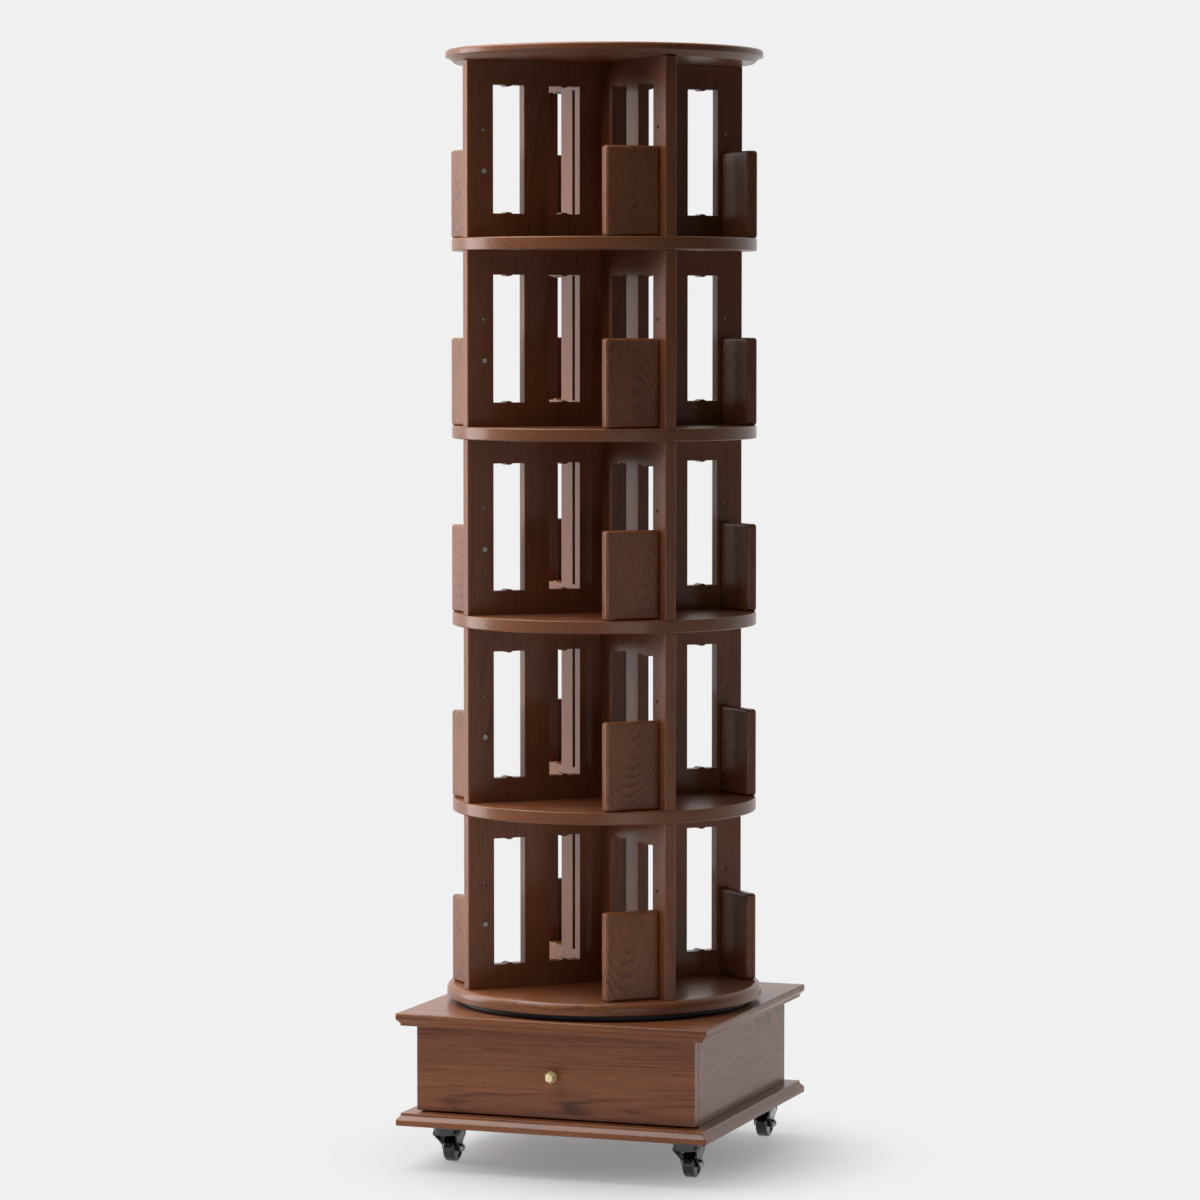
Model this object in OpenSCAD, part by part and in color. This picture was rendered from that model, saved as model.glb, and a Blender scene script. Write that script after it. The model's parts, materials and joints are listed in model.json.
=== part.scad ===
// Revolving bookcase: five tiers of crossed window panels between round shelves.
// The column turns on a ball ring over a square base with a drawer and swivel casters.
// The floor is Z = 0, the column's axis is the Z axis and the drawer opens towards -Y.

/* [Shelves] */
// Diameter of the four shelf discs
shelf_d = 435; // [410:1:440]
// Diameter of the lowest and the highest disc
end_disc_d = 452; // [444:2:460]
// Thickness of every disc
disc_t = 18; // [16:0.5:24]
// Clear height between two discs
tier_h = 248; // [190:2:320]
// Radius of the arris on a shelf disc's rim
shelf_arris = 2; // [0.5:0.5:6]
// Height of the nose on the top disc's rim
top_nose_h = 10; // [8:0.5:12]
// Radius of the top disc's upper arris
top_nose_round = 4; // [1:0.5:6]
// Width of the step under the top disc's nose
top_nose_step = 4; // [1:0.5:8]
// Width of the bevel under the top disc
top_bevel = 8; // [4:0.5:12]
// Height of the nose on the lowest disc's rim
low_nose_h = 7; // [4:0.5:10]
// Width of the roundover on the lowest disc's rim
low_round_w = 9; // [4:0.5:14]

/* [Window panels] */
// Thickness of a panel
panel_t = 17; // [14:0.5:20]
// Setback of a panel's end from the shelf rim
panel_setback = 1; // [0.5:0.5:8]
// Turn of the panels from the front, in degrees
column_turn = 45; // [0:5:90]
// Clearance on each side of the half lap
lap_gap = 0.1; // [0.05:0.05:0.3]
// Height of the rail above and below a window
rail_h = 34; // [24:0.5:45]
// Width of the stile between the crossing panel and the first window
inner_stile = 34; // [25:0.5:45]
// Width of the stile between the two windows
mid_stile = 38.5; // [30:0.5:50]
// Width of the stile outside the second window
outer_stile = 40; // [38:0.5:48]
// Radius of the bump in the middle of a window's ends
bump_r = 9; // [7:0.5:12]
// Rise of that bump into the window
bump_rise = 2.2; // [1:0.1:6]
// Radius of the arris on a panel's free end
panel_arris = 2; // [0.5:0.5:4]

/* [Book stops] */
// Thickness of a stop
stop_t = 17; // [14:0.5:18]
// Width of a stop
stop_w = 82.5; // [60:0.5:83]
// Height of a stop
stop_h = 125; // [110:1:150]
// Setback of a stop's outer face from the panel's end
stop_setback = 17; // [16:0.5:24]
// Radius of a stop's edges
stop_round = 4.5; // [2:0.5:6]
// Height of the stop screw above the shelf
stop_screw_z = 93; // [60:1:100]
// Height of the spare hole above the shelf
spare_hole_z = 151; // [130:1:170]
// Diameter of the spare hole
spare_hole_d = 5; // [4:0.5:7]
// Length of a stop screw under its head
stop_screw_l = 40; // [30:1:50]
// Diameter of a stop screw's head
stop_head_d = 7; // [7:0.5:10]

/* [Dowels] */
// Diameter of the dowels between panels and discs
dowel_d = 8; // [6:0.5:10]
// Depth of a dowel in a panel
dowel_seat = 15; // [10:0.5:20]
// Depth of a dowel in the lowest and the highest disc
dowel_end_seat = 12; // [8:0.5:14]

/* [Turntable] */
// Height of the gap that the turntable fills
ring_gap = 9; // [8:0.5:12]
// Outer diameter of the turntable
ring_d = 422; // [400:2:430]
// Width of each of the two rings
ring_w = 19; // [16:0.5:24]
// Gap between the two rings
race_gap = 1; // [0.6:0.1:1.6]
// Gap between each ring and the board that turns over it
ring_lift = 1; // [0.5:0.1:1.5]
// Diameter of the turntable's balls
ball_d = 5; // [4:0.5:5.5]
// Number of balls
ball_count = 36; // [24:1:60]
// Number of screws in each ring
ring_screws = 8; // [4:1:12]

/* [Base] */
// Width and depth of the two base boards
base_w = 462; // [456:2:500]
// Thickness of the two base boards
board_t = 18; // [16:0.5:24]
// Overhang of the boards past the drawer housing
overhang = 24; // [16:0.5:26]
// Clear height between the two boards
box_h = 124; // [118:1:180]
// Thickness of the housing's sides and back
box_t = 15; // [14:0.5:18]
// Height of the nose on a board's edge
board_nose_h = 8; // [5:0.5:9]
// Width of the bevel on a board's edge
board_bevel_w = 6; // [3:0.5:10]
// Height of the bevel on a board's edge
board_bevel_h = 6.5; // [3:0.5:7]
// Radius of the arris on a board's nose
board_arris = 1.5; // [0.5:0.5:3]
// Radius of a board's vertical corners
board_corner = 3.5; // [1:0.5:8]

/* [Drawer] */
// Thickness of the drawer front
front_t = 17; // [15:0.5:19]
// Gap above the drawer front
front_gap_top = 1.5; // [1:0.5:3]
// Gap under the drawer front
front_gap_low = 2.5; // [1:0.5:4]
// Gap behind the drawer front
front_gap_back = 1; // [0.5:0.5:2]
// Length of the drawer's sides
drawer_l = 350; // [300:5:360]
// Height of the drawer's sides
drawer_side_h = 85; // [60:1:90]
// Thickness of the drawer's sides and back
drawer_side_t = 12; // [11:0.5:14]
// Thickness of the drawer's bottom
drawer_bottom_t = 5; // [4:0.5:6]
// Height of the drawer's sides above the lower board
drawer_lift = 15; // [8:1:20]
// Height of the bottom's groove above the sides' lower edge
groove_z = 8; // [6:1:12]
// Depth of the groove
groove_depth = 6; // [4:0.5:7]

/* [Runners] */
// Width of the space for a runner on each side of the drawer
runner_gap = 12.7; // [12:0.1:14]
// Height of a runner's fixed channel
channel_h = 35; // [30:0.5:45]
// Depth of the channel from the housing's side
channel_depth = 10; // [9:0.5:11]
// Depth of the rail from the drawer's side
rail_depth = 8.6; // [8:0.1:9]
// Thickness of the runner's sheet steel
runner_sheet = 1.2; // [1:0.1:1.5]
// Diameter of the runner's balls
runner_ball_d = 3.2; // [2.8:0.1:4]
// Balls in one row
row_balls = 6; // [3:1:6]

/* [Knob] */
// Width of the knob's head across its corners
knob_d = 18; // [14:0.5:24]
// Width of the knob's front facet across its corners
knob_face_d = 11; // [6:0.5:12]
// How far the knob stands out of the drawer front
knob_l = 22.5; // [18:0.5:30]
// Diameter of the knob's neck
knob_neck_d = 9; // [8:0.5:12]

/* [Casters] */
// Height of the boards' underside above the floor
caster_h = 63; // [62:0.5:72]
// Diameter of a wheel
wheel_d = 40; // [36:1:42]
// Width of a wheel
wheel_w = 17; // [12:0.5:17.5]
// Distance of a wheel's axle from the swivel axis
trail = 19; // [16:0.5:22]
// Distance of the swivel axes from the middle, sideways
caster_x = 180; // [160:1:185]
// Distance of the front swivel axes from the middle
caster_front = 157; // [150:1:180]
// Distance of the back swivel axes from the middle
caster_back = 178; // [150:1:180]
// Width of a caster's top plate
plate_w = 42; // [40:0.5:48]
// Thickness of the top plate
plate_t = 2.5; // [2:0.1:3]
// Diameter of the fork's crown
crown_d = 42; // [38:0.5:44]
// Height of the crown
crown_h = 12; // [10:0.5:13]
// Gap between the fork's legs
fork_gap = 20; // [19:0.5:22]
// Thickness of the fork's sheet steel
fork_t = 2.5; // [2:0.1:3]
// Diameter of the axle
axle_d = 6; // [5:0.5:8]
// Diameter of the kingpin
kingpin_d = 8; // [6:0.5:10]
// Width of the brake pedal's pad
pedal_w = 26; // [22:0.5:30]

/* [Fits] */
// Radial clearance round pins, screws and dowels
fit = 0.1; // [0.05:0.05:0.2]
// Clearance between pieces that turn on each other
swivel_gap = 0.3; // [0.2:0.05:0.5]

/* [Hidden] */
$fn = 72;

// Counts that the names of the pieces fix
tiers = 5;
arms = 4;

// Heights
box_z = caster_h + board_t;
box_top = box_z + box_h;
base_top = box_top + board_t;
column_z = base_top + ring_gap;
pitch = disc_t + tier_h;
function disc_z(i) = column_z + i * pitch;
function panel_z(i) = disc_z(i - 1) + disc_t;

// Panels, from the crossing panel's face outwards
panel_end = shelf_d / 2 - panel_setback;
window_w = (panel_end - panel_t / 2 - inner_stile - mid_stile - outer_stile) / 2;
window_h = tier_h - 2 * rail_h;
window_1 = panel_t / 2 + inner_stile;
window_2 = window_1 + window_w + mid_stile;
dowel_r = window_1 + window_w + mid_stile / 2;
stop_out = panel_end - stop_setback;
stop_r = stop_out - stop_t / 2;

// Play at the end of a screw or dowel in its hole
end_play = 0.2;

// Screws: shank and head diameters and head heights
stop_screw_d = 4;
stop_head_h = 2.5;
stop_screw_in = stop_screw_l - panel_t + end_play;
small_screw_d = 3.5;
small_head_d = 7;
small_head_h = 2;
small_screw_l = 16;
board_screw_d = 5;
board_head_d = 9;
board_head_h = 3;
board_screw_l = 45;
cam_bolt_d = 6;
cam_bolt_up = 10;
cam_bolt_down = 28;
knob_screw_d = 4;
knob_screw_grip = 8;

// Turntable
race_r = ring_d / 2 - ring_w - race_gap / 2;
race_z = base_top + ring_gap / 2;
upper_screw_r = ring_d / 2 - ring_w / 2;
lower_screw_r = race_r - race_gap / 2 - ring_w / 2;
ring_recess = 2.4;

// Drawer housing and drawer
box_half = base_w / 2 - overhang;
box_in = box_half - box_t;
side_front = -box_half + front_t + front_gap_back;
drawer_half = box_in - runner_gap;
drawer_front_y = -box_half + front_t;
drawer_z = box_z + drawer_lift;
drawer_end_y = drawer_front_y + drawer_l;
bottom_z = drawer_z + groove_z;
groove_play = 0.2;
front_z = box_z + front_gap_low;
front_h = box_h - front_gap_low - front_gap_top;
knob_z = front_z + front_h / 2;
runner_z = drawer_z + drawer_side_h / 2;
channel_front_y = side_front + 1;
ball_row_z = channel_h / 2 - runner_sheet - fit - runner_ball_d / 2;
slider_half_h = ball_row_z - runner_ball_d / 2 - fit;
ball_row_x = box_in - channel_depth / 2 - 1.5;
ball_pitch = 16;
ball_back_share = 0.62;
ball_back_y = side_front + ball_back_share * drawer_l;
runner_screw_l = 10;
runner_head_h = 1.5;

// Places of screws and bolts as shares of what they hold
runner_screw_share = [0.2, 0.8];
front_bolt_share = [0.2, 0.8];
drawer_back_share = [0.4, 0.8];
side_screw_share = [-0.225, 0, 0.225];
back_screw_share = [-0.63, 0, 0.63];

// Casters, with the fork seen from its side: Y is the trail and Z is up
caster_at = [
    [-caster_x, -caster_front], [caster_x, -caster_front],
    [-caster_x, caster_back], [caster_x, caster_back]
];
wheel_r = wheel_d / 2;
crown_top = caster_h - plate_t - swivel_gap;
crown_low = crown_top - crown_h;
plate_hole = plate_w / 2 - 5;
kingpin_head_d = 14;
kingpin_head_h = 2.5;
axle_boss_r = 7;
pedal_pin_d = 3.6;
pedal_hub_r = 3.2;
pedal_eye_r = 5;
pedal_y = crown_d / 2;
pedal_z = crown_low - pedal_hub_r - 1;
pedal_hub_w = fork_gap - 1;
pedal_arm = 12;
pedal_arm_t = 3;
pedal_pad = [23, 1.6];
pedal_pad_t = 2.4;
shoe_gap = 2.1;
shoe_angle = 57;
pin_angle = atan2(pedal_z - wheel_r, pedal_y - trail);
leg_front = [-crown_d / 2 + 1.5, crown_low - 4];
leg_top = crown_d / 3;
axle_head_h = 3;
axle_head_d = 10;
nut_h = 4;
nut_d = 11;
axle_tail = 1.5;
hub_d = 12;
hub_w = fork_gap - 2 * swivel_gap;
tyre_round = 3;
wheel_dish = 2;

// Points of an arc about a centre, from one angle to another
function arc(c, r, a0, a1, n = 5) =
    [for (i = [0:n]) c + r * [cos(a0 + (a1 - a0) * i / n), sin(a0 + (a1 - a0) * i / n)]];

// Rectangle with round corners, centred
function round_rect(w, h, r) = concat(
    arc([w / 2 - r, h / 2 - r], r, 0, 90),
    arc([-w / 2 + r, h / 2 - r], r, 90, 180),
    arc([-w / 2 + r, -h / 2 + r], r, 180, 270),
    arc([w / 2 - r, -h / 2 + r], r, 270, 360));

module at_arm(k) rotate(column_turn + k * 360 / arms) children();

module each_arm() for (k = [0:arms - 1]) at_arm(k) children();

module ring_of(n, r) for (k = [0:n - 1]) rotate(k * 360 / n) translate([r, 0, 0]) children();

module scale_side(s) mirror([s < 0 ? 1 : 0, 0, 0]) children();

// Screw that points up from under its head
module screw(d, l, head_d, head_h) {
    cylinder(d = d, h = l);
    translate([0, 0, -head_h]) cylinder(d = head_d, h = head_h);
}

// Hole for a screw that points up, with a recess below its seat
module screw_hole(d, l, head_d = 0, recess = 0) {
    translate([0, 0, -0.01]) cylinder(d = d + 2 * fit, h = l + end_play + 0.01);
    if (recess > 0) translate([0, 0, -recess]) cylinder(d = head_d + 4 * fit, h = recess);
}

// Discs of the column

module shelf_blank() {
    r = shelf_d / 2;
    a = shelf_arris;
    rotate_extrude() polygon(concat(
        [[0, 0]], arc([r - a, a], a, -90, 0), arc([r - a, disc_t - a], a, 0, 90), [[0, disc_t]]));
}

module top_blank() {
    r = end_disc_d / 2;
    a = top_nose_round;
    z = disc_t - top_nose_h;
    rotate_extrude() polygon(concat(
        [[0, 0], [r - top_nose_step - top_bevel, 0], [r - top_nose_step, z]],
        [[r - shelf_arris / 2, z], [r, z + shelf_arris / 2]],
        arc([r - a, disc_t - a], a, 0, 90), [[0, disc_t]]));
}

module bottom_blank() {
    r = end_disc_d / 2;
    h = disc_t - low_nose_h;
    curve = [for (a = [0:15:90]) [r - low_round_w * (1 - cos(a)), low_nose_h + h * sin(a)]];
    rotate_extrude() polygon(concat(
        [[0, 0], [r - shelf_arris / 2, 0], [r, shelf_arris / 2]], curve, [[0, disc_t]]));
}

module dowel_holes(z, h) {
    each_arm() translate([dowel_r, 0, z]) cylinder(d = dowel_d + 2 * fit, h = h);
}

module shelf_disc(i) {
    color("#5a3524") translate([0, 0, disc_z(i)]) difference() {
        shelf_blank();
        dowel_holes(-1, disc_t + 2);
    }
}

module top_disc() {
    color("#5a3524") translate([0, 0, disc_z(tiers)]) difference() {
        top_blank();
        dowel_holes(-1, dowel_end_seat + 1);
    }
}

module bottom_disc() {
    color("#5a3524") difference() {
        translate([0, 0, column_z]) difference() {
            bottom_blank();
            dowel_holes(disc_t - dowel_end_seat, dowel_end_seat + 1);
        }
        upper_ring_screws(true);
    }
}

// Panels between the discs

module window() {
    bump_in = bump_r - bump_rise;
    rotate([90, 0, 0]) linear_extrude(panel_t + 2, center = true) difference() {
        square([window_w, window_h]);
        for (z = [-bump_in, window_h + bump_in]) translate([window_w / 2, z]) circle(bump_r);
    }
}

module panel_blank() {
    difference() {
        linear_extrude(tier_h) polygon(round_rect(2 * panel_end, panel_t, panel_arris));
        for (k = [0, 1]) rotate(k * 180) {
            translate([window_1, 0, rail_h]) window();
            translate([window_2, 0, rail_h]) window();
            for (z = [-1, tier_h - dowel_seat]) translate([dowel_r, 0, z])
                cylinder(d = dowel_d + 2 * fit, h = dowel_seat + 1);
            translate([stop_r, 0, stop_screw_z]) rotate([90, 0, 0])
                cylinder(d = stop_screw_d + 2 * fit, h = panel_t + 2, center = true);
            translate([stop_r, 0, spare_hole_z]) rotate([90, 0, 0])
                cylinder(d = spare_hole_d, h = panel_t + 2, center = true);
        }
    }
}

// Panel i of the first set, whose slot opens upwards
module cross_panel_a(i) {
    slot = panel_t + 2 * lap_gap;
    color("#6b4130") translate([0, 0, panel_z(i)]) at_arm(0) difference() {
        panel_blank();
        translate([-slot / 2, -panel_t, tier_h / 2 - lap_gap])
            cube([slot, 2 * panel_t, tier_h]);
    }
}

// Panel i of the second set, whose slot opens downwards
module cross_panel_b(i) {
    slot = panel_t + 2 * lap_gap;
    color("#6b4130") translate([0, 0, panel_z(i)]) at_arm(1) difference() {
        panel_blank();
        translate([-slot / 2, -panel_t, tier_h / 2 + lap_gap - tier_h])
            cube([slot, 2 * panel_t, tier_h]);
    }
}

// One stop with its lower corner at the shelf, beside the panel of the arm along +X
module book_stop() {
    translate([stop_r, -panel_t / 2 - stop_w / 2, stop_h / 2]) difference() {
        intersection() {
            linear_extrude(stop_h, center = true) polygon(round_rect(stop_t, stop_w, stop_round));
            rotate([90, 0, 0]) linear_extrude(stop_w, center = true)
                polygon(round_rect(stop_t, stop_h, stop_round));
            rotate([90, 0, 90]) linear_extrude(stop_t, center = true)
                polygon(round_rect(stop_w, stop_h, stop_round));
        }
        translate([0, stop_w / 2, stop_screw_z - stop_h / 2]) rotate([90, 0, 0])
            translate([0, 0, -1]) cylinder(d = stop_screw_d + 2 * fit, h = stop_screw_in + 1);
    }
}

module book_stops(i) {
    color("#6b4130") translate([0, 0, panel_z(i)]) each_arm() book_stop();
}

module stop_screws() {
    color("#c9c4bb") for (i = [1:tiers]) translate([0, 0, panel_z(i) + stop_screw_z]) each_arm()
        translate([stop_r, panel_t / 2, 0]) rotate([90, 0, 0])
            screw(stop_screw_d, stop_screw_l, stop_head_d, stop_head_h);
}

module panel_dowels() {
    inner_l = disc_t + 2 * dowel_seat - 2 * end_play;
    end_l = dowel_end_seat + dowel_seat - 2 * end_play;
    color("#d8b98a") each_arm() {
        for (i = [1:tiers - 1]) translate([dowel_r, 0, disc_z(i) - dowel_seat + end_play])
            cylinder(d = dowel_d, h = inner_l);
        translate([dowel_r, 0, panel_z(1) - dowel_end_seat + end_play])
            cylinder(d = dowel_d, h = end_l);
        translate([dowel_r, 0, disc_z(tiers) - dowel_seat + end_play])
            cylinder(d = dowel_d, h = end_l);
    }
}

// Turntable

module ring(r_in, r_out, z) {
    rotate_extrude() difference() {
        translate([r_in, z]) square([r_out - r_in, ring_gap - ring_lift]);
        translate([race_r, race_z]) circle(ball_d / 2 + fit);
    }
}

module upper_ring_screws(hole = false) {
    seat = column_z - ring_gap + ring_lift + ring_recess;
    ring_of(ring_screws, upper_screw_r) translate([0, 0, seat]) {
        if (hole) screw_hole(small_screw_d, small_screw_l, small_head_d, ring_recess + 1);
        else screw(small_screw_d, small_screw_l, small_head_d, small_head_h);
    }
}

module lower_ring_screws(hole = false) {
    seat = base_top + ring_gap - ring_lift - ring_recess;
    rotate(180 / ring_screws) ring_of(ring_screws, lower_screw_r) translate([0, 0, seat])
        rotate([180, 0, 0]) {
            if (hole) screw_hole(small_screw_d, small_screw_l, small_head_d, ring_recess + 1);
            else screw(small_screw_d, small_screw_l, small_head_d, small_head_h);
        }
}

module turntable_upper_ring() {
    color("#1c1c1e") difference() {
        ring(race_r + race_gap / 2, ring_d / 2, base_top + ring_lift);
        upper_ring_screws(true);
    }
}

module turntable_lower_ring() {
    color("#1c1c1e") difference() {
        ring(race_r - race_gap / 2 - ring_w, race_r - race_gap / 2, base_top);
        lower_ring_screws(true);
    }
}

module turntable_screws() {
    color("#9a9a9a") upper_ring_screws();
}

module turntable_balls() {
    color("#b8bcc0") ring_of(ball_count, race_r) translate([0, 0, race_z]) sphere(d = ball_d);
}

// Base boards

// Edge outline of a board with its nose down, as seen along an edge
function board_outline(w) = let (h = w / 2, b = board_arris) concat(
    [[-h + b, 0], [h - b, 0], [h, b], [h, board_nose_h]],
    [[h - board_bevel_w, board_nose_h + board_bevel_h], [h - board_bevel_w, board_t]],
    [[-h + board_bevel_w, board_t], [-h + board_bevel_w, board_nose_h + board_bevel_h]],
    [[-h, board_nose_h], [-h, b]]);

module board_blank() {
    intersection() {
        rotate([90, 0, 0]) linear_extrude(base_w, center = true) polygon(board_outline(base_w));
        rotate([90, 0, 90]) linear_extrude(base_w, center = true) polygon(board_outline(base_w));
        linear_extrude(board_t) polygon(round_rect(base_w, base_w, board_corner));
    }
}

// Places of the screws and bolts that hold the sides and the back
side_mid = (side_front + box_half) / 2;
housing_l = box_half - side_front;
wall_points = concat(
    [for (x = [-1, 1], s = side_screw_share) [x * (box_half - box_t / 2), side_mid + s * housing_l]],
    [for (s = back_screw_share) [s * box_in, box_half - box_t / 2]]);

module board_screws(hole = false) {
    for (p = wall_points) translate([p[0], p[1], caster_h + board_head_h]) {
        if (hole) screw_hole(board_screw_d, board_screw_l, board_head_d, board_head_h + 1);
        else screw(board_screw_d, board_screw_l, board_head_d, board_head_h);
    }
}

module cam_bolts(grow = 0, play = 0) {
    for (p = wall_points) translate([p[0], p[1], box_top - cam_bolt_down - play])
        cylinder(d = cam_bolt_d + 2 * grow, h = cam_bolt_down + cam_bolt_up + 2 * play);
}

module at_casters() for (p = caster_at) translate([p[0], p[1], 0]) children();

module plate_screws(hole = false) {
    seat = caster_h - plate_t + small_head_h;
    at_casters() for (x = [-1, 1], y = [-1, 1])
        translate([x * plate_hole, y * plate_hole, seat]) {
            if (hole) screw_hole(small_screw_d, small_screw_l, small_head_d, small_head_h + 1);
            else screw(small_screw_d, small_screw_l, small_head_d, small_head_h);
        }
}

module channel_screws(hole = false) {
    for (s = [-1, 1], t = runner_screw_share)
        translate([s * (box_in - runner_sheet), channel_front_y + t * drawer_l, runner_z])
            rotate([0, s * 90, 0]) {
                if (hole) screw_hole(small_screw_d, runner_screw_l);
                else screw(small_screw_d, runner_screw_l, small_head_d, runner_head_h);
            }
}

module base_top_board() {
    color("#6a4431") difference() {
        translate([0, 0, base_top]) mirror([0, 0, 1]) board_blank();
        cam_bolts(fit, end_play);
        lower_ring_screws(true);
    }
}

module base_bottom_board() {
    color("#6a4431") difference() {
        translate([0, 0, caster_h]) board_blank();
        board_screws(true);
        plate_screws(true);
    }
}

module base_side() {
    difference() {
        translate([box_in, side_front, box_z]) cube([box_t, box_half - side_front, box_h]);
        board_screws(true);
        cam_bolts(fit, end_play);
        channel_screws(true);
    }
}

module base_side_right() {
    color("#6a4431") base_side();
}

module base_side_left() {
    color("#6a4431") mirror([1, 0, 0]) base_side();
}

module base_back_panel() {
    color("#6a4431") difference() {
        translate([-box_in, box_in, box_z]) cube([2 * box_in, box_t, box_h]);
        board_screws(true);
        cam_bolts(fit, end_play);
    }
}

module base_fasteners() {
    color("#9a9a9a") {
        board_screws();
        cam_bolts();
        plate_screws();
        channel_screws();
        lower_ring_screws();
    }
}

// Drawer

module runner_channels() {
    inner = channel_h - 2 * runner_sheet;
    color("#b8bcc0") difference() {
        for (s = [-1, 1]) scale_side(s) translate([box_in, channel_front_y, runner_z])
            rotate([-90, 0, 0]) linear_extrude(drawer_l) difference() {
                translate([-channel_depth, -channel_h / 2]) square([channel_depth, channel_h]);
                translate([-channel_depth - 1, -inner / 2])
                    square([channel_depth + 1 - runner_sheet, inner]);
            }
        channel_screws(true);
    }
}

module rail_screws(hole = false) {
    for (s = [-1, 1], t = runner_screw_share)
        translate([s * (drawer_half + runner_sheet), drawer_front_y + t * drawer_l, runner_z])
            rotate([0, -s * 90, 0]) {
                if (hole) screw_hole(small_screw_d, runner_screw_l);
                else screw(small_screw_d, runner_screw_l, small_head_d, runner_head_h);
            }
}

module drawer_rails() {
    color("#b8bcc0") difference() {
        for (s = [-1, 1]) scale_side(s) translate([drawer_half, drawer_front_y + 1, runner_z])
            rotate([-90, 0, 0]) linear_extrude(drawer_l - 1) difference() {
                translate([0, -slider_half_h]) square([rail_depth, 2 * slider_half_h]);
                translate([runner_sheet, -slider_half_h + runner_sheet])
                    square([rail_depth, 2 * (slider_half_h - runner_sheet)]);
            }
        rail_screws(true);
    }
}

module runner_balls() {
    color("#b8bcc0") for (x = [-1, 1], z = [-1, 1], k = [0:row_balls - 1])
        translate([x * ball_row_x, ball_back_y - k * ball_pitch, runner_z + z * ball_row_z])
            sphere(d = runner_ball_d);
}

// Bolts that join the drawer's sides to its front
module front_bolts(grow = 0, play = 0) {
    for (x = [-1, 1], t = front_bolt_share)
        translate([x * (drawer_half - drawer_side_t / 2),
            drawer_front_y - cam_bolt_up - play, drawer_z + t * drawer_side_h])
            rotate([-90, 0, 0])
                cylinder(d = cam_bolt_d + 2 * grow, h = cam_bolt_down + cam_bolt_up + 2 * play);
}

// Screws through the drawer's sides into its back
module back_screws(hole = false) {
    for (x = [-1, 1], t = drawer_back_share)
        translate([x * (drawer_half - runner_head_h), drawer_end_y - drawer_side_t / 2,
            drawer_z + t * drawer_side_h]) rotate([0, -x * 90, 0]) {
            if (hole) screw_hole(small_screw_d, 2 * small_screw_l, small_head_d, runner_head_h + 1);
            else screw(small_screw_d, 2 * small_screw_l, small_head_d, runner_head_h);
        }
}

module knob_screw(hole = false) {
    translate([0, drawer_front_y, knob_z]) rotate([90, 0, 0]) {
        if (hole) screw_hole(knob_screw_d, front_t + knob_screw_grip);
        else screw(knob_screw_d, front_t + knob_screw_grip, small_head_d, small_head_h);
    }
}

module drawer_front() {
    color("#6d4a36") difference() {
        translate([-box_half, -box_half, front_z]) cube([2 * box_half, front_t, front_h]);
        bottom_slot();
        front_bolts(fit, end_play);
        knob_screw(true);
    }
}

// Groove for the drawer's bottom, which runs through all four walls' places
module bottom_slot() {
    w = drawer_half - drawer_side_t + groove_depth;
    translate([-w, drawer_front_y - groove_depth, bottom_z - groove_play / 2])
        cube([2 * w, drawer_l + groove_depth + 1, drawer_bottom_t + groove_play]);
}

module drawer_side() {
    difference() {
        translate([drawer_half - drawer_side_t, drawer_front_y, drawer_z])
            cube([drawer_side_t, drawer_l, drawer_side_h]);
        bottom_slot();
        front_bolts(fit, end_play);
        rail_screws(true);
        back_screws(true);
    }
}

module drawer_side_right() {
    color("#8a6a4e") drawer_side();
}

module drawer_side_left() {
    color("#8a6a4e") mirror([1, 0, 0]) drawer_side();
}

module drawer_back() {
    w = drawer_half - drawer_side_t;
    z = bottom_z + drawer_bottom_t + groove_play / 2;
    color("#8a6a4e") difference() {
        translate([-w, drawer_end_y - drawer_side_t, z])
            cube([2 * w, drawer_side_t, drawer_z + drawer_side_h - z]);
        back_screws(true);
    }
}

module drawer_bottom() {
    w = drawer_half - drawer_side_t + groove_depth - groove_play;
    color("#a98c6c") translate([-w, drawer_front_y - groove_depth + groove_play, bottom_z])
        cube([2 * w, drawer_l + groove_depth - groove_play, drawer_bottom_t]);
}

module drawer_knob() {
    back_l = 3;
    rim_l = 5.5;
    face_l = 7;
    neck_l = knob_l - face_l - rim_l - back_l;
    color("#c9ad6a") translate([0, -box_half, knob_z]) rotate([90, 90, 0]) difference() {
        union() {
            cylinder(d = knob_neck_d, h = neck_l + 1);
            translate([0, 0, neck_l]) cylinder(d1 = knob_neck_d, d2 = knob_d, h = back_l, $fn = 6);
            translate([0, 0, neck_l + back_l]) cylinder(d = knob_d, h = rim_l, $fn = 6);
            translate([0, 0, neck_l + back_l + rim_l])
                cylinder(d1 = knob_d, d2 = knob_face_d, h = face_l, $fn = 6);
        }
        translate([0, 0, -1]) cylinder(d = knob_screw_d + 2 * fit, h = knob_screw_grip + 1 + end_play);
    }
}

module drawer_screws() {
    color("#9a9a9a") {
        rail_screws();
        front_bolts();
        back_screws();
        knob_screw();
    }
}

// Casters, drawn with the swivel axis at the origin and the wheel trailing towards +Y

module caster_plate() {
    difference() {
        translate([-plate_w / 2, -plate_w / 2, caster_h - plate_t])
            cube([plate_w, plate_w, plate_t]);
        for (x = [-1, 1], y = [-1, 1])
            translate([x * plate_hole, y * plate_hole, caster_h - plate_t + small_head_h])
                screw_hole(small_screw_d, small_screw_l, small_head_d, small_head_h + 1);
    }
    pin_low = crown_top - fork_t - swivel_gap;
    translate([0, 0, pin_low]) cylinder(d = kingpin_d, h = caster_h - plate_t - pin_low + 0.1);
    translate([0, 0, pin_low - kingpin_head_h]) cylinder(d = kingpin_head_d, h = kingpin_head_h);
}

module caster_plates() {
    color("#2a2a2c") at_casters() caster_plate();
}

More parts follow.
